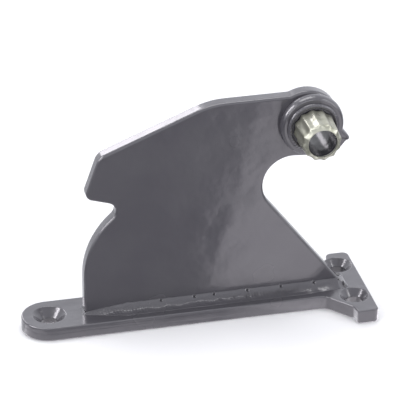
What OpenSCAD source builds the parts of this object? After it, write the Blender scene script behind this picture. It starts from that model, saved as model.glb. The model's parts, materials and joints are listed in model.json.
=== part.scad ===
// Side bracket of a quick coupler: a profiled side plate welded onto a bolt-down foot plate,
// with a pivot tube, its collar, and a fluted wear sleeve that turns on the tube.
// Origin: axis of the left bolt hole at the underside. +X along the foot, +Z up, the pivot
// tube stands out towards -Y.

/* [Foot plate] */
// Thickness of the foot plate
foot_thick = 15; // [11:0.5:25]
// Width of the long strip
strip_w = 58; // [46:1:80]
// How far the head reaches to the front
head_front = 68; // [60:0.5:90]
// How far the head reaches to the rear
head_rear = 59.5; // [55:0.5:90]
// From the head bolt holes to the head's right edge
head_edge = 17.75; // [16:0.25:30]
// From the head bolt holes back to where the strip starts to widen
head_neck = 31.25; // [20:0.25:50]

/* [Bolt holes] */
// Through hole for a 16 mm bolt
bolt_d = 17.5; // [13:0.5:22]
// Countersink diameter of the left hole
left_sink_d = 35; // [26:0.5:40]
// Countersink diameter of the two head holes
head_sink_d = 31; // [26:0.5:38]
// Distance between the two head holes
head_pitch = 66; // [58:1:80]

/* [Side plate] */
// Thickness of the side plate
side_thick = 15; // [10:0.5:25]
// Where the side plate starts, to the right of the left bolt hole
plate_left = 36.4; // [32:0.1:60]
// Radius of the long arc up the left side
back_r = 92; // [80:1:110]
// Height of the flat top over the pivot axis
top_rise = 32; // [28:0.5:34]
// Angle at which the top edge climbs from the nose
top_angle = 21.8; // [10:0.2:30]
// From the pivot axis back to where the climbing edge meets the flat top
top_run = 104; // [80:0.5:130]

/* [Hook] */
// Height of the hook's tip below the pivot axis
hook_drop = 61; // [50:0.5:80]
// Tip of the hook, to the right of the plate's left edge
hook_inset = 1.6; // [0:0.1:10]
// Angle at which the hook's underside falls away
hook_angle = 17.1; // [5:0.1:25]
// Lean of the nose from upright
nose_lean = 19.4; // [0:0.2:30]
// Radius at the bottom of the hook's notch
notch_r = 10; // [6:0.5:12]

/* [Pin scoop] */
// Radius of the scoop
scoop_r = 31.5; // [24:0.5:32]
// Scoop centre behind the pivot axis
scoop_back = 18; // [5:0.5:30]
// Scoop centre below the pivot axis
scoop_drop = 68.5; // [68.5:0.5:90]
// Angle of the straight edge from the scoop down to the foot
slope_angle = 52.7; // [40:0.1:70]
// Radius of the lug under the ear, from the pivot axis
lug_r = 46.5; // [45:0.5:52]

/* [Pivot] */
// Pivot axis, to the right of the left bolt hole
pivot_x = 275.7; // [220:0.1:340]
// Pivot axis, above the underside
pivot_z = 210; // [175:0.5:260]
// Bore for the coupler pin
pin_d = 30; // [24:0.5:36]
// Wall of the pivot tube
tube_wall = 2.5; // [2:0.1:5]
// How far the tube stands out from the side plate's front face
tube_out = 46; // [40:0.5:80]
// How far the tube stands out from the rear face
tube_back = 4; // [3:0.5:15]
// Width of the collar's ring around the tube
collar_w = 13.5; // [12.5:0.5:18]
// How far the collar stands out from the side plate
collar_out = 11; // [6:0.5:20]
// Rim of side plate left around the collar
ear_rim = 4.8; // [4.3:0.1:10]
// Ear centre behind the pivot axis
ear_back = 4.5; // [0:0.1:4.6]

/* [Wear sleeve] */
// Radial clearance between sleeve and tube
sleeve_gap = 0.05; // [0.02:0.01:0.10]
// Wall of the sleeve at its ridges
sleeve_wall = 4.1; // [3.5:0.1:8]
// Length of the sleeve's cap past the end of the tube
cap_len = 3.4; // [2:0.1:5]
// Radial clearance between the cap and the coupler pin
cap_gap = 0.15; // [0.1:0.05:0.5]
// Number of flutes
flutes = 12; // [6:1:18]
// Depth of a flute
flute_depth = 2; // [0.5:0.1:2.5]
// Free play at each end of the sleeve
sleeve_play = 0.5; // [0.2:0.1:1.5]

/* [Welds] */
// Leg of the welds along the foot
base_leg = 8.5; // [5:0.5:10]
// Leg where those welds start at the left end
start_leg = 2; // [1:0.5:4]
// Length over which they grow to the full leg
grow_len = 45; // [20:1:80]
// Rim of the collar left bare in front of its weld
collar_bare = 0.8; // [0.5:0.1:3]
// Reach of the weld around the collar over the side plate
collar_reach = 3.6; // [3:0.1:4.2]
// Height of the weld ring around the tube, at its crest
ring_leg = 3.8; // [2.5:0.1:5]
// Height of that ring where it meets the tube
ring_low = 1.5; // [1:0.1:2]
// Reach of the ring over the collar's face
ring_reach = 10; // [8:0.5:11]

/* [Hidden] */
$fn = 96;

steel_color = [0.42, 0.41, 0.45];
weld_color = [0.34, 0.33, 0.37];
zinc_color = [0.74, 0.73, 0.66];

big = 400;               // larger than the whole bracket
past = 1;                // how far a cutter runs past the face it cuts
arc_step = 5;            // degrees between the points of an arc

half_side = side_thick / 2;
half_strip = strip_w / 2;
bore_r = pin_d / 2;
tube_r = bore_r + tube_wall;
collar_r = tube_r + collar_w;
ear_r = collar_r + ear_rim;
pivot = [pivot_x, pivot_z];
ear = pivot - [ear_back, 0];

// Heights along the pivot, measured from the side plate's middle towards -Y
front_face = half_side;
collar_face = front_face + collar_out;
tube_end = front_face + tube_out;
sleeve_start = collar_face + ring_low + sleeve_play;
tube_chamfer = 0.5;
bore_chamfer = 1;
sleeve_end = tube_end + sleeve_play + cap_len;
sleeve_bore_r = tube_r + sleeve_gap;
cap_bore_r = bore_r + cap_gap;
sleeve_r = sleeve_bore_r + sleeve_wall;
sleeve_edge = 1;         // chamfer at the sleeve's inner end
nose_len = 3.2;          // length of the cone around the sleeve's mouth
nose_drop = 1.4;         // how far the ridges come down to that cone
mouth_wall = 0.6;        // wall left at the mouth
flute_r = 4.5;
collar_leg = collar_out - collar_bare;
collar_fullness = 2.4;   // 1 gives a straight face, more a rounder one
base_bulge = 0.5;
rear_bulge = 0.3;
ring_half = 2.6;         // from the weld ring's crest out to its edge
flute_turn = 23;         // turns the ridges to where they sit at rest

// ---- outlines -------------------------------------------------------------

function unit(v) = v / norm(v);
function along(angle) = [cos(angle), sin(angle)];

// Points on an arc from one angle to another
function arc(centre, r, from, to) =
    let (n = max(1, ceil(abs(to - from) / arc_step)))
    [for (i = [0:n]) centre + r * along(from + (to - from) * i / n)];

// A corner at b between a and c, rounded to radius r
function round_corner(a, b, c, r) =
    let (u = unit(a - b), w = unit(c - b),
         half = acos(u * w) / 2,
         centre = b + unit(u + w) * r / sin(half),
         start = b + u * r / tan(half) - centre,
         stop = b + w * r / tan(half) - centre,
         from = atan2(start.y, start.x),
         turn = atan2(stop.y, stop.x) - from,
         sweep = turn > 180 ? turn - 360 : turn < -180 ? turn + 360 : turn)
    arc(centre, r, from, from + sweep);

// Where the line from p along d meets the line from q along e
function meet(p, d, q, e) =
    p + d * ((q.x - p.x) * e.y - (q.y - p.y) * e.x) / (d.x * e.y - d.y * e.x);

// The line from p along unit vector d meets a circle: distance to the first or second crossing
function reach(p, d, centre, r, which) =
    let (f = p - centre, b = f * d)
    -b + which * sqrt(max(0, b * b - f * f + r * r));

// Left side: an upright edge, then the long arc up to the notch
back_drop = 94;          // from the hook's tip down to the arc's centre
back_centre = [plate_left + back_r, pivot_z - hook_drop - back_drop];
hook_tip = [plate_left + hook_inset, pivot_z - hook_drop];
under_dir = along(-hook_angle);
under_normal = along(-hook_angle - 90);
notch_line = hook_tip + under_normal * notch_r;
notch_centre = notch_line
    + under_dir * reach(notch_line, under_dir, back_centre, back_r + notch_r, -1);
notch_side = unit(notch_centre - back_centre);
back_end = atan2(notch_side.y, notch_side.x);

// Nose and climbing top edge
nose_dir = along(90 - nose_lean);
top_z = pivot_z + top_rise;
top_corner = [pivot_x - top_run, top_z];
nose_corner = meet(hook_tip, nose_dir, top_corner, along(top_angle));
tip_r = 8;
nose_r = 15;
top_r = 80;

// Flat top into the ear, with a small hollow between them
hollow_r = 10;
hollow_rise = top_rise + hollow_r;
hollow_run = sqrt(pow(ear_r + hollow_r, 2) - hollow_rise * hollow_rise);
hollow_centre = ear + [-hollow_run, hollow_rise];
ear_start = atan2(hollow_rise, -hollow_run);

// Lug under the ear: a straight edge down to its tip, then back under the pivot
lug_dir = along(-slope_angle);
lug_tip_out = 45;
lug_tip_drop = 25.5;
lug_tip = pivot + [lug_tip_out, -lug_tip_drop];
lug_back = lug_tip - lug_dir * reach(lug_tip, -lug_dir, ear, ear_r, -1);
ear_stop = atan2(lug_back.y - ear.y, lug_back.x - ear.x);
lug_start = -33;         // angles at which the lug's round underside starts and stops
lug_stop = -60;
lug_tip_r = 2.5;

// Scoop, and the straight edge from it to the foot
scoop = pivot - [scoop_back, scoop_drop];
scoop_start = 84;        // angle at which the lug's underside runs into the scoop
scoop_stop = 270 - slope_angle;
scoop_end = scoop + scoop_r * along(scoop_stop);
slope_foot = meet(scoop_end, lug_dir, [0, foot_thick], [1, 0]);

lug_start_point = pivot + lug_r * along(lug_start);

side_points = concat(
    [[plate_left, foot_thick]],
    arc(back_centre, back_r, 180, back_end),
    arc(notch_centre, notch_r, back_end - 180, 90 - hook_angle),
    round_corner(notch_centre - under_normal * notch_r, hook_tip, nose_corner, tip_r),
    round_corner(hook_tip, nose_corner, top_corner, nose_r),
    round_corner(nose_corner, top_corner, top_corner + [1, 0], top_r),
    arc(hollow_centre, hollow_r, 270, ear_start + 180),
    arc(ear, ear_r, ear_start, ear_stop),
    round_corner(lug_back, lug_tip, lug_start_point, lug_tip_r),
    arc(pivot, lug_r, lug_start, lug_stop),
    arc(scoop, scoop_r, scoop_start, scoop_stop),
    [slope_foot]);

// Foot: a strip with a half-round left end and a wider head at the right
head_gap = 4.9;          // from the straight edge's foot to the head bolt holes
head_x = slope_foot.x + head_gap;
head_right = head_x + head_edge;
neck_r = 15;
neck_skew = 1.5;         // the front side starts to widen this much later than the rear
shoulder_back = 7;       // where the widening stops, behind the bolt holes
shoulder_skew = 1;
front_ear = 11.8;        // length of the head's straight flank at the front
rear_ear = 10.5;
front_corner_back = 5;   // left corners of the head, behind the bolt holes
rear_corner_back = 6;
neck_x = head_x - head_neck;
shoulder_x = head_x - shoulder_back;

foot_corners = [         // corner, radius
    [[neck_x + neck_skew, -half_strip], neck_r],
    [[shoulder_x, front_ear - head_front], 7],
    [[head_x - front_corner_back, -head_front], 3],
    [[head_right, -head_front], 6],
    [[head_right, head_rear], 7],
    [[head_x - rear_corner_back, head_rear], 6],
    [[shoulder_x - shoulder_skew, head_rear - rear_ear], 4],
    [[neck_x, half_strip], neck_r]];

foot_path = concat([[0, -half_strip]], [for (c = foot_corners) c[0]], [[0, half_strip]]);

foot_points = concat(
    [for (i = [0:len(foot_corners) - 1])
        each round_corner(foot_path[i], foot_path[i + 1], foot_path[i + 2], foot_corners[i][1])],
    arc([0, 0], half_strip, 90, 270));

// Ring section with rounded outer corners, from height a to height b
function ring_points(inner, outer, a, b, r) = concat(
    [[inner, a]],
    round_corner([inner, a], [outer, a], [outer, b], r),
    round_corner([outer, a], [outer, b], [inner, b], r),
    [[inner, b]]);

// Section of a fillet weld: legs a and b, its face bulging outwards
function fillet_points(a, b, bulge) = concat(
    [[0, 0]],
    [for (i = [0:6]) let (t = i / 6, crown = 4 * bulge * t * (1 - t))
        [a * (1 - t), b * t] + unit([b, a]) * crown]);

// Section of a full, rounded weld: legs a and b
function full_points(a, b, fullness) = concat(
    [[0, 0]],
    [for (i = [0:8]) let (t = sin(90 * i / 8))
        [a * pow(1 - pow(t, fullness), 1 / fullness), b * t]]);

// ---- placing helpers ------------------------------------------------------

// Children stand on the pivot axis, their +Z towards the front
module on_pivot() {
    translate([pivot_x, 0, pivot_z]) rotate([90, 0, 0]) children();
}

// A 2D outline in the XZ plane, centred on the side plate's middle
module upright(thick) {
    translate([0, thick / 2, 0]) rotate([90, 0, 0]) linear_extrude(height = thick) children();
}

module countersunk_hole(x, y, sink_d) {
    depth = (sink_d - bolt_d) / 2;
    translate([x, y, -past]) cylinder(h = foot_thick + 2 * past, d = bolt_d);
    translate([x, y, foot_thick - depth]) cylinder(h = depth, d1 = bolt_d, d2 = sink_d);
    translate([x, y, foot_thick]) cylinder(h = past, d = sink_d);
}

// Everything beyond the straight edge's plane, above and to the right of the slope
module beyond_slope() {
    translate([slope_foot.x, -big / 2, foot_thick])
        rotate([0, 90 - slope_angle, 0]) translate([0, 0, -big / 2]) cube(big);
}

// ---- sub-parts ------------------------------------------------------------

module foot_plate() {
    color(steel_color) difference() {
        linear_extrude(height = foot_thick) polygon(foot_points);
        countersunk_hole(0, 0, left_sink_d);
        for (y = [-head_pitch / 2, head_pitch / 2]) countersunk_hole(head_x, y, head_sink_d);
    }
}

module side_plate() {
    color(steel_color) difference() {
        upright(side_thick) polygon(side_points);
        on_pivot() translate([0, 0, -big / 2]) cylinder(h = big, r = tube_r);
    }
}

module boss_collar() {
    color(steel_color) on_pivot() rotate_extrude()
        polygon(ring_points(tube_r, collar_r, front_face, collar_face, collar_bare));
}

module pivot_tube() {
    rear = -front_face - tube_back;
    color(steel_color) on_pivot() rotate_extrude() polygon([
        [bore_r, rear + bore_chamfer], [bore_r + bore_chamfer, rear],
        [tube_r, rear],
        [tube_r, tube_end - tube_chamfer], [tube_r - tube_chamfer, tube_end],
        [bore_r + bore_chamfer / 2, tube_end], [bore_r, tube_end - bore_chamfer]]);
}

module wear_sleeve() {
    length = sleeve_end - sleeve_start;
    color(zinc_color) on_pivot() translate([0, 0, sleeve_start]) intersection() {
        difference() {
            cylinder(h = length, r = sleeve_r + past);
            for (i = [0:flutes - 1]) rotate(flute_turn + i * 360 / flutes)
                translate([sleeve_r - flute_depth + flute_r, 0, -past])
                    cylinder(h = length + 2 * past, r = flute_r, $fn = 48);
        }
        rotate_extrude() polygon([
            [sleeve_bore_r, 0], [sleeve_r - sleeve_edge, 0], [sleeve_r, sleeve_edge],
            [sleeve_r, length / 3], [sleeve_r - nose_drop, length - nose_len],
            [cap_bore_r + mouth_wall, length], [cap_bore_r, length],
            [cap_bore_r, length - cap_len], [sleeve_bore_r, length - cap_len]]);
    }
}

// The long weld on the front of the side plate: it starts thin and grows to its full leg
module base_weld() {
    growth = (base_leg - start_leg) / grow_len;
    lean = acos(1 / sqrt(2 + growth * growth));
    color(weld_color) difference() {
        translate([plate_left, -half_side, foot_thick]) rotate([90, 0, 90])
            linear_extrude(height = slope_foot.x - plate_left)
                mirror([1, 0]) polygon(fillet_points(base_leg, base_leg, base_bulge));
        translate([plate_left, -half_side - start_leg, foot_thick])
            rotate([0, lean, atan2(-1, -growth)]) translate([-big, -big, 0]) cube(2 * big);
        beyond_slope();
    }
}

module front_base_weld() { base_weld(); }

module rear_base_weld() { mirror([0, 1, 0]) base_weld(); }

module left_end_weld() {
    color(weld_color) translate([plate_left, 0, foot_thick]) {
        rotate([90, 0, 0]) translate([0, 0, -half_side]) linear_extrude(height = side_thick)
            polygon([[0, 0], [0, start_leg], [-start_leg, 0]]);
        for (side = [-1, 1]) translate([0, side * half_side, 0]) intersection() {
            cylinder(h = start_leg, r1 = start_leg, r2 = 0);
            translate([-big, side > 0 ? 0 : -big, 0]) cube(big);
        }
    }
}

// Weld across the foot of the straight edge, wrapping both corners
module right_end_weld() {
    toe = base_leg;
    top = [-toe * cos(slope_angle), toe * sin(slope_angle)];
    corner_h = toe * top.y / (toe - top.x);
    color(weld_color) translate([slope_foot.x, 0, foot_thick]) {
        rotate([90, 0, 0]) translate([0, 0, -half_side]) linear_extrude(height = side_thick)
            polygon([[0, 0], [toe, 0], top]);
        for (side = [-1, 1]) translate([0, side * half_side, 0]) intersection() {
            cylinder(h = corner_h, r1 = toe, r2 = 0);
            rotate([0, 90 - slope_angle, 0])
                translate([0, side > 0 ? 0 : -big, -big / 2]) cube(big);
        }
    }
}

module collar_weld() {
    color(weld_color) on_pivot() translate([0, 0, front_face]) rotate_extrude()
        translate([collar_r, 0]) polygon(full_points(collar_reach, collar_leg, collar_fullness));
}

// A raised ring near the collar's rim, falling to a low step that clears the sleeve
module tube_weld() {
    crest_r = tube_r + ring_reach - ring_half;
    step_r = sleeve_r + sleeve_play;
    color(weld_color) on_pivot() translate([0, 0, collar_face]) rotate_extrude() polygon(concat(
        [[tube_r, 0], [crest_r + ring_half, 0]],
        [for (a = [15:15:90]) [crest_r + ring_half * cos(a), ring_leg * sin(a)]],
        [[step_r, ring_low], [tube_r, ring_low]]));
}

module rear_tube_weld() {
    leg = tube_back - 0.5;
    color(weld_color) on_pivot() translate([0, 0, -front_face]) mirror([0, 0, 1]) rotate_extrude()
        translate([tube_r, 0]) polygon(fillet_points(leg, leg, rear_bulge));
}

foot_plate();
side_plate();
boss_collar();
pivot_tube();
wear_sleeve();
front_base_weld();
rear_base_weld();
left_end_weld();
right_end_weld();
collar_weld();
tube_weld();
rear_tube_weld();
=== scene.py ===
import json
import math

import bmesh
import bpy
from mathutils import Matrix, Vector, noise


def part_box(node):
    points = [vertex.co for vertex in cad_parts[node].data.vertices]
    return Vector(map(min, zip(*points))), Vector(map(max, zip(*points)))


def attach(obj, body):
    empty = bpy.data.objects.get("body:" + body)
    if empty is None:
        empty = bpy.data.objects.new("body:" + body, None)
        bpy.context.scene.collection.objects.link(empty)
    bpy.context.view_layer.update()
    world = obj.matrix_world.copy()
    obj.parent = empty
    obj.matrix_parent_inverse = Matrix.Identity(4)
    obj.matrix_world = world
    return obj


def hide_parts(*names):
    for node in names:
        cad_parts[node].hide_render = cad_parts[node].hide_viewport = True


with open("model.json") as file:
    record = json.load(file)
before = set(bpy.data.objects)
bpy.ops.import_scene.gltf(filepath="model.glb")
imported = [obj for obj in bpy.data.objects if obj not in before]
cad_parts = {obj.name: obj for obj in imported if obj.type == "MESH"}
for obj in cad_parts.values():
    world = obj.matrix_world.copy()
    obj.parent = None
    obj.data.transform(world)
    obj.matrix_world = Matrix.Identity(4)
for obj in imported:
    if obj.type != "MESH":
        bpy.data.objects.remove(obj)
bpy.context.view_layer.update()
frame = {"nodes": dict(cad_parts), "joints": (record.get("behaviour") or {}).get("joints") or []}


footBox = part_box("foot_plate")
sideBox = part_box("side_plate")
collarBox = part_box("boss_collar")
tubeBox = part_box("pivot_tube")
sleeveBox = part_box("wear_sleeve")
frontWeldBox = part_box("front_base_weld")
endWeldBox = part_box("right_end_weld")
pivot = Vector(frame["joints"][0]["pos_m"])
footTop = footBox[1].z
halfSide = sideBox[1].y                                # half the side plate's thickness
collarFace = collarBox[0].y                            # front face of the collar
collarRadius = (collarBox[1].x - collarBox[0].x) / 2
tubeRadius = (tubeBox[1].x - tubeBox[0].x) / 2
plateLeft = frontWeldBox[0].x
slopeFoot = frontWeldBox[1].x                          # where the straight edge meets the foot


view = {
    "azimuth": -13.325,         # degrees, from straight in front towards the right
    "elevation": 28.341,
    "distance": 3.3,
    "aim": (0.1675, -0.0062, 0.1239),
    "lens": 277.59,
    "sensor": 36.0,
    "clipEnd": 20,
}


def makeCamera(v):
    turn, lift = math.radians(v["azimuth"]), math.radians(v["elevation"])
    back = Vector((math.sin(turn) * math.cos(lift), -math.cos(turn) * math.cos(lift), math.sin(lift)))
    data = bpy.data.cameras.new("camera")
    data.lens, data.sensor_width = v["lens"], v["sensor"]
    data.clip_end = v["clipEnd"]
    camera = bpy.data.objects.new("camera", data)
    camera.location = Vector(v["aim"]) + back * v["distance"]
    camera.rotation_euler = (math.pi / 2 - lift, 0, turn)
    bpy.context.collection.objects.link(camera)
    bpy.context.scene.camera = camera


studio = {
    "world": (0.93, 0.94, 1.0),
    "worldStrength": 0.80,
    "glossLow": 0.28,           # what a shiny surface sees below the horizon, towards the front
    "glossBack": 0.85,          # and towards the back
    "glossHigh": 1.35,          # and above the horizon
    "glossTop": 0.9,            # and straight overhead
    "backBand": (0.1, 0.7),     # where front turns into back, as the sine of an angle
    "horizonBand": (-0.12, 0.1),
    "topBand": (0.6, 0.9),
    "lampColour": (1.0, 0.99, 1.0),
    "cardColour": (0.98, 0.94, 1.0),
    "floor": (0.92, 0.92, 0.92),
    "floorSize": 12.0,
    "floorRoughness": 0.7,
    "floorGap": 0.0003,         # how far the floor lies under the foot
    # name: place, size, aim point, power in watts, seen by shiny surfaces only
    "lights": {
        "overhead": ((0.1, 0.5, 2.4), (1.6, 1.2), (0.15, 0, 0.1), 26, False),
        "leftFront": ((-1.6, -1.5, 1.5), (0.9, 1.2), (0.15, 0, 0.1), 14, False),
        "rightStrip": ((1.7, -0.9, 0.9), (0.3, 1.4), (0.2, 0, 0.1), 10, False),
        "backCard": ((-0.42, 1.75, 1.15), (0.7, 0.8), (0.1, 0, 0.15), 9, True),
        "leftCard": ((-1.35, 0.0, 1.15), (0.55, 1.1), (0.2, 0, 0.15), 22, True),
    },
    # name: place, size, degrees about the vertical, power; they lie face up just under the floor
    "cards": {
        "stripCard": ((0.15, -0.026, -0.02), (0.46, 0.10), 0.0, 0.17),
        "lowCard": ((0.444, -0.444, -0.02), (0.22, 0.835), 21.3, 0.88),
    },
}


def makeWorld(s):
    world = bpy.data.worlds.new("studio")
    world.use_nodes = True
    tree = world.node_tree
    background = tree.nodes["Background"]
    background.inputs["Color"].default_value = (*s["world"], 1)
    where = addNode(tree, "ShaderNodeTexCoord").outputs["Generated"]
    aim = addNode(tree, "ShaderNodeSeparateXYZ", {0: where})
    low = spread(tree, aim.outputs["Y"], *s["backBand"], s["glossLow"], s["glossBack"])
    rise = spread(tree, aim.outputs["Z"], *s["horizonBand"], low, s["glossHigh"])
    fall = spread(tree, aim.outputs["Z"], *s["topBand"], 0.0, s["glossHigh"] - s["glossTop"])
    gloss = addNode(tree, "ShaderNodeMath", {0: rise, 1: fall}, operation="SUBTRACT").outputs[0]
    shiny = addNode(tree, "ShaderNodeLightPath").outputs["Is Glossy Ray"]
    strength = addNode(tree, "ShaderNodeMix", {0: shiny, 2: s["worldStrength"], 3: gloss}).outputs[0]
    tree.links.new(strength, background.inputs["Strength"])
    bpy.context.scene.world = world


def addLight(name, place, size, turn, power, glossOnly, colour):
    data = bpy.data.lights.new(name, "AREA")
    data.shape, data.size, data.size_y = "RECTANGLE", size[0], size[1]
    data.energy = power
    data.color = colour
    light = bpy.data.objects.new(name, data)
    light.location = place
    light.rotation_euler = turn
    light.visible_camera = False
    light.visible_diffuse = not glossOnly
    bpy.context.collection.objects.link(light)


def makeStudio(s):
    makeWorld(s)
    for name, (place, size, aim, power, glossOnly) in s["lights"].items():
        turn = (Vector(aim) - Vector(place)).to_track_quat("-Z", "Y").to_euler()
        addLight(name, place, size, turn, power, glossOnly, s["cardColour" if glossOnly else "lampColour"])
    for name, (place, size, turn, power) in s["cards"].items():
        addLight(name, place, size, (math.pi, 0, math.radians(turn)), power, True, s["cardColour"])
    bpy.ops.mesh.primitive_plane_add(size=s["floorSize"], location=(0, 0, footBox[0].z - s["floorGap"]))
    floor = bpy.context.object
    floor.name = "floor"
    floor.visible_glossy = False
    floor.visible_shadow = False
    floor.data.materials.append(plainMaterial("floor", s["floor"], s["floorRoughness"]))
    bpy.context.scene.view_settings.view_transform = "Standard"


def addNode(tree, kind, inputs=None, **settings):
    node = tree.nodes.new(kind)
    for key, value in settings.items():
        setattr(node, key, value)
    for key, value in (inputs or {}).items():
        if isinstance(value, bpy.types.NodeSocket):
            tree.links.new(value, node.inputs[key])
        else:
            node.inputs[key].default_value = value
    return node


def plainMaterial(name, colour, roughness):
    material = bpy.data.materials.new(name)
    material.use_nodes = True
    shader = material.node_tree.nodes["Principled BSDF"]
    shader.inputs["Base Color"].default_value = (*colour, 1)
    shader.inputs["Roughness"].default_value = roughness
    return material


def makeGroup(name, inputs, outputs):
    tree = bpy.data.node_groups.new(name, "ShaderNodeTree")
    for key, (kind, value) in inputs.items():
        socket = tree.interface.new_socket(key, in_out="INPUT", socket_type="NodeSocket" + kind)
        socket.default_value = value
    for key, kind in outputs.items():
        tree.interface.new_socket(key, in_out="OUTPUT", socket_type="NodeSocket" + kind)
    return tree, tree.nodes.new("NodeGroupInput").outputs, tree.nodes.new("NodeGroupOutput").inputs


def placeGroup(tree, group, **inputs):
    node = tree.nodes.new("ShaderNodeGroup")
    node.node_tree = group
    for key, value in inputs.items():
        node.inputs[key].default_value = value
    return node.outputs


def noiseOf(tree, where, scale, detail=3.0, roughness=0.55):
    return addNode(tree, "ShaderNodeTexNoise",
                   {"Vector": where, "Scale": scale, "Detail": detail, "Roughness": roughness}).outputs["Fac"]


def spread(tree, value, low, high, outLow=0.0, outHigh=1.0):
    return addNode(tree, "ShaderNodeMapRange",
                   {"Value": value, "From Min": low, "From Max": high,
                    "To Min": outLow, "To Max": outHigh}).outputs["Result"]


def mixColours(tree, factor, first, second):
    return addNode(tree, "ShaderNodeMix", {0: factor, 6: first, 7: second}, data_type="RGBA").outputs[2]


def timesOf(tree, a, b):
    return addNode(tree, "ShaderNodeMath", {0: a, 1: b}, operation="MULTIPLY").outputs[0]


def sumOf(tree, a, b, factor):
    return addNode(tree, "ShaderNodeMath", {0: b, 1: factor, 2: a}, operation="MULTIPLY_ADD").outputs[0]


# scales are counts per metre, bands are the part of a noise that is spread out
thickPaintLook = {
    "cloudScale": 14.0,
    "speckScale": 420.0,
    "speck": 0.06,
    "filmBand": (0.42, 0.7),    # where the dusty film starts and is full
    "roughBand": (0.3, 0.75),
    "roughSpread": (-0.04, 0.07),
    # how much rougher the painted shade mask leaves the paint
    "shadeRough": 0.25,
    "streakScale": (6.0, 90.0, 260.0),
    "peelScale": 260.0,
    "swellScales": (22.0, 75.0),
    "swellShare": 0.22,         # of the finer swell
}


def makeThickPaintGroup(look):
    tree, given, out = makeGroup(
        "thickPaint",
        {"Colour": ("Color", (0.07, 0.066, 0.078, 1)), "Dusty": ("Color", (0.12, 0.12, 0.13, 1)),
         "Grimy": ("Color", (0.012, 0.011, 0.015, 1)), "CreaseShade": ("Float", 0.0),
         "Mottle": ("Float", 0.35), "Roughness": ("Float", 0.22), "Peel": ("Float", 0.35),
         "Wave": ("Float", 2.0), "Streak": ("Float", 0.0)},
        {"Colour": "Color", "Roughness": "Float", "Height": "Float"})
    where = addNode(tree, "ShaderNodeTexCoord").outputs["Object"]
    cloud = noiseOf(tree, where, look["cloudScale"])
    speck = noiseOf(tree, where, look["speckScale"], 2.0)
    film = timesOf(tree, spread(tree, cloud, *look["filmBand"]), given["Mottle"])
    colour = mixColours(tree, film, given["Colour"], given["Dusty"])
    # painted shade: the CreaseShade mask darkens the colour towards Grimy at weld toes and craters
    tree.links.new(mixColours(tree, given["CreaseShade"], colour, given["Grimy"]), out["Colour"])
    uneven = spread(tree, cloud, *look["roughBand"], *look["roughSpread"])
    rough = sumOf(tree, given["Roughness"], uneven, 1.0)
    tree.links.new(sumOf(tree, rough, given["CreaseShade"], look["shadeRough"]), out["Roughness"])
    drawn = addNode(tree, "ShaderNodeVectorMath", {0: where, 1: look["streakScale"]}, operation="MULTIPLY")
    streak = timesOf(tree, noiseOf(tree, drawn.outputs[0], 1.0, 2.0), given["Streak"])
    peel = timesOf(tree, noiseOf(tree, where, look["peelScale"], 1.5), given["Peel"])
    height = sumOf(tree, streak, peel, 1.0)
    broad, fine = (noiseOf(tree, where, scale, 1.0) for scale in look["swellScales"])
    swell = sumOf(tree, broad, fine, look["swellShare"])
    height = sumOf(tree, height, timesOf(tree, swell, given["Wave"]), 1.0)
    tree.links.new(sumOf(tree, height, speck, look["speck"]), out["Height"])
    return tree


paint = {
    "colour": (0.066, 0.063, 0.073, 1),
    # painted shade: the plates' paint made darker for the tube, standing in for the shade inside the bore
    "tube": (0.022, 0.021, 0.027, 1),
    "dusty": (0.082, 0.080, 0.088, 1),
    # colour of the painted shade at weld toes and craters
    "shadeColour": (0.012, 0.011, 0.015, 1),
    "mottle": 0.5,
    "roughness": 0.22,
    "peel": 0.35,
    "wave": 15.0,
    "bump": 0.5,
    "bumpDistance": 0.00035,
    # per finish: lengthwise runs, weight and roughness of the gloss coat
    "streak": {"platePaint": 0.0, "footPaint": 3.2, "weldPaint": 0.0, "tubePaint": 0.0},
    "coat": {"platePaint": 0.7, "footPaint": 0.7, "weldPaint": 0.7, "tubePaint": 0.12},
    "coatRoughness": {"platePaint": 0.08, "footPaint": 0.15, "weldPaint": 0.07, "tubePaint": 0.12},
}


def makePaint(name, p, group):
    material = bpy.data.materials.new(name)
    material.use_nodes = True
    tree = material.node_tree
    shader = tree.nodes["Principled BSDF"]
    # the tube takes the darker copy of the paint, painted shade for the bore
    colour = p["tube"] if name == "tubePaint" else p["colour"]
    look = placeGroup(tree, group, Colour=colour, Dusty=p["dusty"], Grimy=p["shadeColour"], Mottle=p["mottle"],
                      Roughness=p["roughness"], Peel=p["peel"], Wave=p["wave"], Streak=p["streak"][name])
    if name == "weldPaint":
        # the weld beads' painted shade mask
        creaseShade = addNode(tree, "ShaderNodeAttribute", attribute_name="creaseShade").outputs["Fac"]
        tree.links.new(creaseShade, look["Colour"].node.inputs["CreaseShade"])
    tree.links.new(look["Colour"], shader.inputs["Base Color"])
    tree.links.new(look["Roughness"], shader.inputs["Roughness"])
    bump = addNode(tree, "ShaderNodeBump",
                   {"Height": look["Height"], "Strength": p["bump"], "Distance": p["bumpDistance"]})
    tree.links.new(bump.outputs["Normal"], shader.inputs["Normal"])
    shader.inputs["Coat Weight"].default_value = p["coat"][name]
    shader.inputs["Coat Roughness"].default_value = p["coatRoughness"][name]
    return material


zinc = {
    "colour": (0.42, 0.42, 0.35, 1),
    "stain": (0.22, 0.225, 0.17, 1),
    "roughness": 0.33,
    "roughSpread": (-0.08, 0.12),
    "metallic": 0.75,
    "cloudScale": 90.0,
    "fineScale": 900.0,
    "fineShare": 0.4,
    "stainBand": (0.45, 0.75),
    "roughBand": (0.3, 0.7),
    "bump": 0.4,
    "bumpDistance": 0.0002,
}


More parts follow.
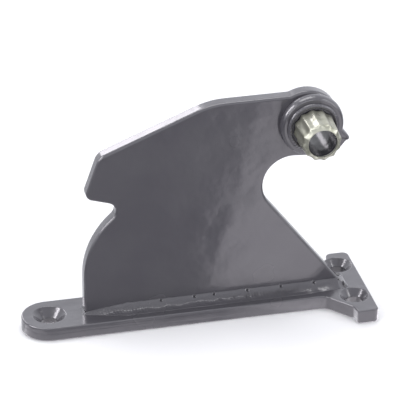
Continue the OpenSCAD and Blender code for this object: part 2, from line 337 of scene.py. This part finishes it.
def makeZinc(z):
    material = bpy.data.materials.new("zincPlate")
    material.use_nodes = True
    tree = material.node_tree
    shader = tree.nodes["Principled BSDF"]
    where = addNode(tree, "ShaderNodeTexCoord").outputs["Object"]
    cloud = noiseOf(tree, where, z["cloudScale"], 4.0)
    fine = noiseOf(tree, where, z["fineScale"], 3.0)
    tree.links.new(mixColours(tree, spread(tree, cloud, *z["stainBand"]), z["colour"], z["stain"]),
                   shader.inputs["Base Color"])
    smooth, rough = (z["roughness"] + change for change in z["roughSpread"])
    tree.links.new(spread(tree, cloud, *z["roughBand"], smooth, rough), shader.inputs["Roughness"])
    height = sumOf(tree, cloud, fine, z["fineShare"])
    bump = addNode(tree, "ShaderNodeBump",
                   {"Height": height, "Strength": z["bump"], "Distance": z["bumpDistance"]})
    tree.links.new(bump.outputs["Normal"], shader.inputs["Normal"])
    shader.inputs["Metallic"].default_value = z["metallic"]
    return material


# node: rounding of its square edges, rounding of the shallow ones round the countersinks
rims = {
    "foot_plate": (0.0016, 0.0005),
    "side_plate": (0.0030, 0.0),
    "boss_collar": (0.0005, 0.0),
    "pivot_tube": (0.0004, 0.0),
}


edges = {
    "join": 0.00001,            # points nearer than this become one
    "flatAngle": 0.5,           # faces that turn less than this become one, in degrees
    "squareAngle": 50,
    "shallowAngle": 38,
    "segments": 4,
    "faceThreshold": 0.0001,
}


def roundEdges(node, square, shallow, e):
    join = node.modifiers.new("join", "WELD")
    join.merge_threshold = e["join"]
    flatten = node.modifiers.new("flatten", "DECIMATE")
    flatten.decimate_type, flatten.angle_limit = "DISSOLVE", math.radians(e["flatAngle"])
    for name, width, angle in (("rim", square, e["squareAngle"]), ("sinkRim", shallow, e["shallowAngle"])):
        if width:
            rim = node.modifiers.new(name, "BEVEL")
            rim.width, rim.segments = width, e["segments"]
            rim.limit_method, rim.angle_limit = "ANGLE", math.radians(angle)
            rim.use_clamp_overlap = False
    flat = node.modifiers.new("flatFaces", "WEIGHTED_NORMAL")
    flat.mode, flat.weight, flat.thresh = "FACE_AREA", 100, e["faceThreshold"]
    for face in node.data.polygons:
        face.use_smooth = True


beadLook = {
    "step": 0.0007,             # spacing of the stations along a bead
    "across": 26,               # faces across a bead
    "toeShade": 0.75,            # painted shade: a dark line where a bead meets the upright plate
    "toeShadeWidth": 0.07,          # as a share of the bead's face
    "toeShadeScale": 120,
    "sink": 0.0003,             # how deep the hidden sides lie in the steel
    "bulge": 0.0005,
    "fullSpan": 0.006,          # a smaller bead bulges less
    "hollowSpan": 0.004,        # how much wider than tall a bead is once it is fully hollow
    "lump": 0.00035,
    "lumpScale": 110,
    "pitch": 0.0032,            # from one ripple to the next
    "bow": 0.0022,              # how far a ripple curves back at the toes
    "waveScale": 300,
    "wobble": 0.0005,           # how much the toes wander
    "wobbleScale": 160,
    "craterSize": 0.0013,
    "craterDepth": 0.0019,
    "craterOut": 0.2,           # where the craters sit, as shares of the bead's leg
    "craterUp": 0.84,
    "craterPlaces": (0.060, 0.117, 0.153, 0.174, 0.210, 0.246, 0.282, 0.309),
}


# smooth noise between -1 and 1
def wander(place, scale, seed):
    return noise.noise(Vector((place.x * scale + seed, place.y * scale, place.z * scale)))


# a station is (corner, up, out, ripple, distance)
# up and out are the two legs, and distance runs along the bead
def makeBead(name, stations, look, closed=False, seed=0.0, craters=(), hollow=0.0):
    mesh = bmesh.new()
    rings, creaseShade = [], []
    for corner, up, out, ripple, distance in stations:
        normal = (up.normalized() + out.normalized()).normalized()
        span = max(up.length, out.length)
        middle = corner + (up + out) / 2
        longer = 1 + look["wobble"] * wander(middle, look["wobbleScale"], seed) / span
        sag = hollow * max(0, min(1, (out.length - up.length) / look["hollowSpan"]))
        bulge = (look["bulge"] - sag) * min(1, span / look["fullSpan"])
        ring = [mesh.verts.new(corner - (up.normalized() + out.normalized()) * look["sink"])]
        creaseShade.append(0.0)
        for j in range(look["across"] + 1):
            t = j / look["across"]
            crown = 4 * t * (1 - t)
            place = corner + up * (1 - t) * longer + out * t * longer
            phase = (distance - look["bow"] * (2 * t - 1) ** 2) / look["pitch"]
            wave = abs(math.sin(math.pi * phase)) * (0.6 + 0.8 * wander(place, look["waveScale"], seed + 5))
            lift = bulge * crown + ripple * wave * crown ** 0.5
            lift += look["lump"] * wander(place, look["lumpScale"], seed + 9) * crown
            # painted shade: darker along the toe at the upright plate, varied by noise
            darkening = look["toeShade"] * math.exp(-(t / look["toeShadeWidth"]) ** 2)
            darkening *= 0.7 + 0.6 * wander(place, look["toeShadeScale"], seed + 2)
            # painted shade inside each crater, on top of its dip
            for crater in craters:
                away = (place - crater).length / look["craterSize"]
                lift -= look["craterDepth"] * math.exp(-away ** 4)
                darkening += math.exp(-away ** 4)
            creaseShade.append(max(0.0, min(1.0, darkening)))
            edge = -look["sink"] if j in (0, look["across"]) else 0.0
            ring.append(mesh.verts.new(place + normal * (lift + edge)))
        rings.append(ring)
    skinRings(mesh, rings, closed)
    piece = finishMesh(name, mesh)
    # the painted shade mask, read by the weld paint
    piece.data.attributes.new("creaseShade", "FLOAT", "POINT").data.foreach_set("value", creaseShade)
    return piece


# joins closed rings of points into a skin, with caps at its ends unless the last ring meets the first
def skinRings(mesh, rings, closed):
    count = len(rings[0])
    pairs = list(zip(rings, rings[1:])) + ([(rings[-1], rings[0])] if closed else [])
    for ringA, ringB in pairs:
        for j in range(count):
            k = (j + 1) % count
            mesh.faces.new((ringA[j], ringA[k], ringB[k], ringB[j]))
    if not closed:
        mesh.faces.new(rings[0][::-1])
        mesh.faces.new(rings[-1])


def finishMesh(name, mesh):
    bmesh.ops.recalc_face_normals(mesh, faces=mesh.faces)
    data = bpy.data.meshes.new(name)
    mesh.to_mesh(data)
    mesh.free()
    for face in data.polygons:
        face.use_smooth = True
    piece = bpy.data.objects.new(name, data)
    bpy.context.collection.objects.link(piece)
    return piece


def standFor(piece, node, body, material):
    piece.data.materials.append(material)
    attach(piece, body)
    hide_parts(node)


baseWeld = {
    "leg": endWeldBox[1].x - slopeFoot,
    "reach": 0.0135,            # how far the thin front edge of the long welds runs out over the foot
    "reachEnd": 0.045,          # it draws in again over this length at the right end
    "reachEase": 0.7,
    "hollow": 0.0022,
    "endSlim": 0.42,            # the weld across the end is this much smaller in the middle
    "cornerSteepness": 1.25,    # how fast the long welds climb from the lean of the end weld
    "cornerTurns": 10,
    "startLeg": 0.002,
    "growLength": 0.045,
    "growEase": 0.8,
    "startRipple": 0.00055,
    "ripple": 0.00012,
    "rippleFade": 0.075,
    "endRipple": 0.00012,
    "leftRipple": 0.0001,
    "fullLeg": 0.005,           # a smaller leg has weaker ripples
}
endLean = Vector((endWeldBox[0].x - slopeFoot, 0, endWeldBox[1].z - footTop))
wedgeHeight = endLean.z * baseWeld["leg"] / (baseWeld["leg"] - endLean.x)


def longStations(side):
    w, stations = baseWeld, []
    count = int((slopeFoot - plateLeft) / beadLook["step"])
    for i in range(count + 1):
        x = plateLeft + (slopeFoot - plateLeft) * i / count
        grown = min(1, (x - plateLeft) / w["growLength"])
        leg = w["startLeg"] + (w["leg"] - w["startLeg"]) * grown ** w["growEase"]
        left = slopeFoot - x
        climb = endLean.z / (w["leg"] - endLean.x)
        if left >= -endLean.x:
            climb *= w["cornerSteepness"]
        top = min(leg, wedgeHeight + left * climb)
        out = leg + (w["reach"] - w["leg"]) * grown * min(1, left / w["reachEnd"]) ** w["reachEase"]
        fade = max(0, 1 - (x - plateLeft) / w["rippleFade"])
        ripple = w["ripple"] + (w["startRipple"] - w["ripple"]) * fade
        stations.append((Vector((x, side * halfSide, footTop)), Vector((0, 0, top)),
                         Vector((0, side * out, 0)), ripple * min(1, leg / w["fullLeg"]), x))
    return stations


# across one end of the plate and round both of its corners
def endStations(x, leg, up, cornerUp, facing, ripple, slim=1.0):
    stations, distance = [], 0.0
    turns = baseWeld["cornerTurns"]
    for side, order in ((-1, range(turns + 1)), (1, range(turns, -1, -1))):
        for i in order:
            angle = math.pi / 2 * (1 - i / turns)
            share = i / turns
            ease = share * share * (3 - 2 * share)
            size = 1 + (slim - 1) * ease
            out = Vector((facing * math.cos(angle), side * math.sin(angle), 0)) * leg * size
            legUp = cornerUp.lerp(up, ease) * size
            stations.append((Vector((x, side * halfSide, footTop)), legUp, out, ripple, distance))
            distance += leg * math.pi / 2 / turns
        if side < 0:
            count = int(2 * halfSide / beadLook["step"])
            for i in range(1, count):
                y = -halfSide + 2 * halfSide * i / count
                stations.append((Vector((x, y, footTop)), up * slim, Vector((facing * leg * slim, 0, 0)),
                                 ripple, distance + y + halfSide))
            distance += 2 * halfSide
    return stations


def makeBaseWelds(material):
    w, leg = baseWeld, baseWeld["leg"]
    for node, name, side, seed in (("front_base_weld", "frontBaseBead", -1, 3.0),
                                   ("rear_base_weld", "rearBaseBead", 1, 41.0)):
        out, up = halfSide + leg * beadLook["craterOut"], footTop + leg * beadLook["craterUp"]
        craters = [Vector((x, side * out, up)) for x in beadLook["craterPlaces"]]
        bead = makeBead(name, longStations(side), beadLook, seed=seed, craters=craters, hollow=w["hollow"])
        standFor(bead, node, "bracket", material)
    small = Vector((0, 0, w["startLeg"]))
    left = makeBead("leftEndBead", endStations(plateLeft, w["startLeg"], small, small, -1, w["leftRipple"]),
                    beadLook, seed=12.0)
    standFor(left, "left_end_weld", "bracket", material)
    right = makeBead("rightEndBead",
                     endStations(slopeFoot, leg, endLean, Vector((0, 0, wedgeHeight)), 1, w["endRipple"],
                                 w["endSlim"]),
                     beadLook, seed=27.0)
    standFor(right, "right_end_weld", "bracket", material)


def aroundPivot(radius, y, angle):
    return Vector((pivot.x + radius * math.cos(angle), y, pivot.z + radius * math.sin(angle)))


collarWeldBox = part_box("collar_weld")
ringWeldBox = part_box("tube_weld")
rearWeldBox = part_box("rear_tube_weld")


rearRipple = 0.00025


def roundStations(radius, y, leg, ripple):
    stations = []
    count = int(2 * math.pi * radius / beadLook["step"])
    whole = round(2 * math.pi * radius / beadLook["pitch"]) * beadLook["pitch"]
    for i in range(count):
        angle = 2 * math.pi * i / count
        corner = aroundPivot(radius, y, angle)
        out = aroundPivot(radius + leg, y, angle) - corner
        stations.append((corner, Vector((0, leg, 0)), out, ripple, whole * i / count))
    return stations


ringWeld = {
    "crest": 0.0026,            # half the width of the raised ring
    "wave": 0.0005,
    "lobes": 46,                # ripples around the ring
    "ripple": 0.00035,
    "lowShare": 0.4,            # height of the step inside the ring, as a share of the ring's
    "clearance": 0.0003,        # to the sleeve
    "sink": 0.0003,             # into the collar's face
    "bite": 0.0002,             # into the tube
    "stepRound": 0.0006,
    "trim": 0.0004,             # how far the crest stays inside the reach of its solid
    "across": 12,
    "steps": 360,
}


# the raised ring of weld on the collar's face, with a low step under the sleeve
def makeRingWeld(material):
    w = ringWeld
    outer = (ringWeldBox[1].x - ringWeldBox[0].x) / 2
    height = ringWeldBox[1].y - ringWeldBox[0].y
    low = height * w["lowShare"]
    sleeveClear = (sleeveBox[1].x - sleeveBox[0].x) / 2 + w["clearance"]
    inner = tubeRadius - w["bite"]
    mesh, rings = bmesh.new(), []
    for i in range(w["steps"]):
        angle = 2 * math.pi * i / w["steps"]
        spot = aroundPivot(outer, 0, angle)
        wobble = w["wave"] * wander(spot, 90, 3.0)
        ring = [(inner, w["sink"]), (outer - w["trim"], w["sink"])]
        for step in range(w["across"] + 1):
            turn = math.pi * step / w["across"]
            lift = w["ripple"] * abs(math.sin(angle * w["lobes"] / 2 + 0.8 * math.cos(turn))) * math.sin(turn)
            r = outer - w["crest"] * (1 - math.cos(turn)) + wobble
            if r < sleeveClear:
                break
            crest = (height - w["trim"] + wobble * 0.5) * max(0, math.sin(turn)) ** 0.8
            ring.append((r, -crest - lift * 0.8))
        ring += [(sleeveClear, -low * 1.15), (sleeveClear - w["stepRound"], -low), (inner, -low)]
        rings.append([mesh.verts.new(aroundPivot(r, collarFace + y, angle)) for r, y in ring])
    skinRings(mesh, rings, True)
    standFor(finishMesh("ringBead", mesh), "tube_weld", "bracket", material)


collarWeld = {
    "slack": 0.0006,            # how far its crest stays inside the reach of its solid
    "tuck": 0.16,               # 0 pulls its foot right in under the crest
    "roundness": 0.7,
    "sway": 0.0006,
    "ripple": 0.00012,
    "sink": 0.001,
    "topShare": 0.985,          # how near its top comes to the collar's rim
    "across": 18,
    "steps": 420,
}


# a full, rounded bead from the plate up to the collar's front rim
def makeCollarWeld(material):
    w = collarWeld
    reach = (collarWeldBox[1].x - collarWeldBox[0].x) / 2 - collarRadius - w["slack"]
    leg = collarWeldBox[1].y - collarWeldBox[0].y
    mesh, rings = bmesh.new(), []
    for i in range(w["steps"]):
        angle = 2 * math.pi * i / w["steps"]
        ring = [(collarRadius - w["sink"], -w["sink"])]
        for j in range(w["across"] + 1):
            rise = math.sin(math.pi / 2 * j / w["across"])
            spot = aroundPivot(collarRadius, leg * rise, angle)
            bow = math.sin(math.pi * (w["tuck"] + (1 - w["tuck"]) * rise))
            out = reach * max(0.0, bow) ** w["roundness"]
            shape = math.sin(math.pi * min(1, rise * 1.1)) if rise < 0.9 else 0.0
            out -= w["sway"] * (0.5 + 0.5 * wander(spot, 70, 6.0)) * shape
            phase = angle * collarRadius / beadLook["pitch"] + 0.9 * rise ** 2
            out -= w["ripple"] * abs(math.sin(math.pi * phase)) * shape
            ring.append((collarRadius + out, leg * rise * w["topShare"]))
        ring.append((collarRadius - w["sink"], leg * w["topShare"]))
        rings.append([mesh.verts.new(aroundPivot(r, -halfSide - y, angle)) for r, y in ring])
    skinRings(mesh, rings, True)
    standFor(finishMesh("collarBead", mesh), "collar_weld", "bracket", material)


def makeRoundWelds(material):
    makeCollarWeld(material)
    leg = rearWeldBox[1].y - rearWeldBox[0].y
    stations = roundStations(tubeRadius, halfSide, leg, rearRipple)
    bead = makeBead("rearBead", stations, beadLook, True, seed=19.0)
    standFor(bead, "rear_tube_weld", "bracket", material)
    makeRingWeld(material)


sleeve = {
    "flutes": 12,
    "turn": 23.0,               # degrees to the middle of a flute
    "depth": 0.0017,
    "narrow": 0.7,              # under 1 leaves the ridges narrower than the grooves
    "capRadius": 0.01515,
    "capLength": 0.0034,
    "nose": 0.0032,             # length of the cone round the mouth
    "noseDrop": 0.0014,         # how far the ridges come down to that cone
    "noseFlutes": 0.85,         # share of the flutes' depth that is left where the cone starts
    "mouthWall": 0.0006,
    "rearRound": 0.0010,
    "lipOut": 0.0002,           # the small chamfer inside the mouth
    "lipIn": 0.0004,
    "tubeGap": 0.00005,
    "leastWall": 0.0003,
    "bodyStages": 10,
    "noseStages": 8,
    "around": 360,
}


# distance from the rear, radius at the ridges, share of the flutes' depth
def sleeveStages(w, length, crest, bore):
    coneStart = length - w["nose"]
    edge = w["rearRound"]
    stages = [(0.0, crest - edge, 0.9), (edge * 0.3, crest - edge * 0.4, 1.0), (edge, crest, 1.0)]
    for k in range(2, w["bodyStages"] + 1):
        share = k / w["bodyStages"]
        fade = 1 - (1 - w["noseFlutes"]) * share ** 6
        stages.append((coneStart * share, crest - w["noseDrop"] * share ** 1.6, fade))
    top, mouth = crest - w["noseDrop"], w["capRadius"] + w["mouthWall"]
    for k in range(1, w["noseStages"] + 1):
        share = k / w["noseStages"]
        fade = w["noseFlutes"] * (1 - share) ** 0.8
        stages.append((coneStart + w["nose"] * share, top + (mouth - top) * share ** 1.15, fade))
    capInside = length - w["capLength"]
    return stages + [(length, w["capRadius"] + w["lipOut"], 0.0), (length - w["lipIn"], w["capRadius"], 0.0),
                     (capInside, w["capRadius"], 0.0), (capInside, bore, 0.0), (0.0, bore, 0.0)]


def makeSleeve(material):
    w = sleeve
    front, rear = sleeveBox[0].y, sleeveBox[1].y
    crest = (sleeveBox[1].z - sleeveBox[0].z) / 2
    bore = tubeRadius + w["tubeGap"]
    stages = sleeveStages(w, rear - front, crest, bore)
    capInside = rear - front - w["capLength"]
    mesh, rings = bmesh.new(), []
    for i in range(w["around"]):
        angle = 2 * math.pi * i / w["around"]
        flute = math.cos(w["flutes"] * (angle - math.radians(w["turn"])))
        groove = (0.5 + 0.5 * flute) ** w["narrow"]
        ring = []
        for distance, radius, share in stages:
            inCap = distance > capInside
            least = (w["capRadius"] if inCap else bore) + w["leastWall"] if share else 0
            place = aroundPivot(max(radius - w["depth"] * groove * share, least), rear - distance, angle)
            ring.append(mesh.verts.new(place))
        rings.append(ring)
    skinRings(mesh, rings, True)
    standFor(finishMesh("flutedSleeve", mesh), "wear_sleeve", "sleeve", material)


makeCamera(view)
makeStudio(studio)
print("studio ready")

thickPaint = makeThickPaintGroup(thickPaintLook)
platePaint = makePaint("platePaint", paint, thickPaint)
footPaint = makePaint("footPaint", paint, thickPaint)
weldPaint = makePaint("weldPaint", paint, thickPaint)
tubePaint = makePaint("tubePaint", paint, thickPaint)
zincPlate = makeZinc(zinc)
print("materials ready")

finishes = {"wear_sleeve": zincPlate, "foot_plate": footPaint, "pivot_tube": tubePaint}
for name, node in frame["nodes"].items():
    node.data.materials.clear()
    node.data.materials.append(finishes.get(name, platePaint))
for name, (square, shallow) in rims.items():
    roundEdges(frame["nodes"][name], square, shallow, edges)
print("plates ready")

makeBaseWelds(weldPaint)
makeRoundWelds(weldPaint)
print("welds ready")
makeSleeve(zincPlate)
print("sleeve ready")
